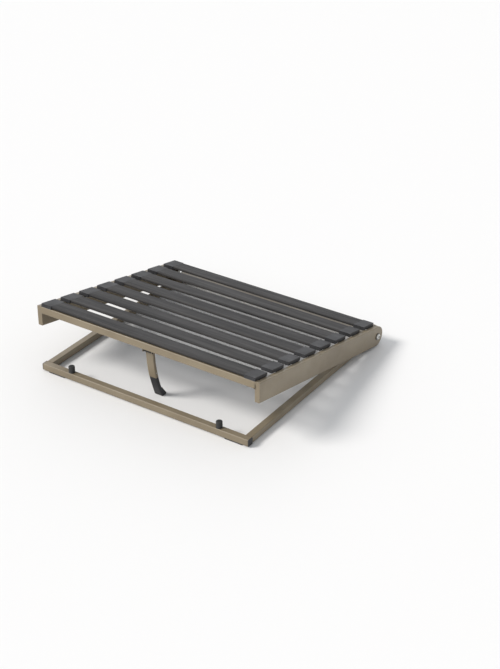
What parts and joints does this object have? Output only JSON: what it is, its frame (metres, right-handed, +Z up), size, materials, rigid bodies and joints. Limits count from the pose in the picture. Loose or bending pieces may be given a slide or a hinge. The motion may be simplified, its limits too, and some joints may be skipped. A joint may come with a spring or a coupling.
{
  "type": "mattress leg raiser frame",
  "caption": "Slatted platform that lies under a mattress and raises its foot end: hinged to a low base frame at the head end and held up by a curved prop under its front bar.",
  "frame": {"origin": "middle of the base frame, on the surface it stands on", "axes": "+X across the bed, +Y towards the head end, +Z up; the prop and the front bar are at -Y"},
  "size_m": [0.751, 0.672, 0.2051],
  "materials": {
    "frame_paint": "beige enamel, satin",
    "base_paint": "beige enamel, satin",
    "slat_wood": "dark stained laminated beech",
    "holder_plastic": "moulded, fine grain",
    "plug_plastic": "moulded",
    "foot_rubber": "moulded rubber",
    "pad_rubber": "matte rubber",
    "bearing_nylon": "turned nylon",
    "hardware": "zinc plated"
  },
  "bodies": {
    "base_frame": {"base_rail_left": "base_paint", "base_rail_right": "base_paint", "foot_crossbar": "base_paint", "head_crossbar": "base_paint", "crossbar_plugs": "plug_plastic", "foot_pad_left": "pad_rubber", "foot_pad_right": "pad_rubber", "head_pad_left": "pad_rubber", "head_pad_right": "pad_rubber", "buffer_left": "pad_rubber", "buffer_right": "pad_rubber", "hinge_ear_left": "base_paint", "hinge_ear_right": "base_paint", "hinge_bolt_left": "hardware", "hinge_bolt_right": "hardware", "hinge_nuts": "hardware", "hinge_spacers": "bearing_nylon"},
    "platform": {"side_rail_left": "frame_paint", "side_rail_right": "frame_paint", "rail_cap_left": "frame_paint", "rail_cap_right": "frame_paint", "front_bar": "frame_paint", "head_bar": "frame_paint", "hinge_bush_left": "bearing_nylon", "hinge_bush_right": "bearing_nylon", "slat_1": "slat_wood", "slat_2": "slat_wood", "slat_3": "slat_wood", "slat_4": "slat_wood", "slat_5": "slat_wood", "slat_6": "slat_wood", "slat_7": "slat_wood", "slat_8": "slat_wood", "slat_holder_1_left": "holder_plastic", "slat_holder_1_right": "holder_plastic", "slat_holder_2_left": "holder_plastic", "slat_holder_2_right": "holder_plastic", "slat_holder_3_left": "holder_plastic", "slat_holder_3_right": "holder_plastic", "slat_holder_4_left": "holder_plastic", "slat_holder_4_right": "holder_plastic", "slat_holder_5_left": "holder_plastic", "slat_holder_5_right": "holder_plastic", "slat_holder_6_left": "holder_plastic", "slat_holder_6_right": "holder_plastic", "slat_holder_7_left": "holder_plastic", "slat_holder_7_right": "holder_plastic", "slat_holder_8_left": "holder_plastic", "slat_holder_8_right": "holder_plastic", "prop_bracket": "frame_paint", "pivot_bolt": "hardware", "pivot_nut": "hardware", "pivot_washers": "bearing_nylon", "stop_pin": "hardware"},
    "prop": {"prop_sleeve": "frame_paint", "prop_strut": "frame_paint", "prop_foot": "foot_rubber", "foot_rivet": "hardware"}
  },
  "joints": [
    {"name": "platform_tilt", "type": "hinge", "parent": "base_frame", "child": "platform", "pos_m": [0, 0.304, 0.033], "axis": [-1, 0, 0], "range_deg": [-12, 4]},
    {"name": "prop_swing", "type": "hinge", "parent": "platform", "child": "prop", "pos_m": [0, -0.28829, 0.166], "axis": [1, 0, 0], "range_deg": [-20.4, 61.2]}
  ],
  "couplings": [
    {"joint": "prop_swing", "follows": "platform_tilt", "ratio": -5.1}
  ]
}
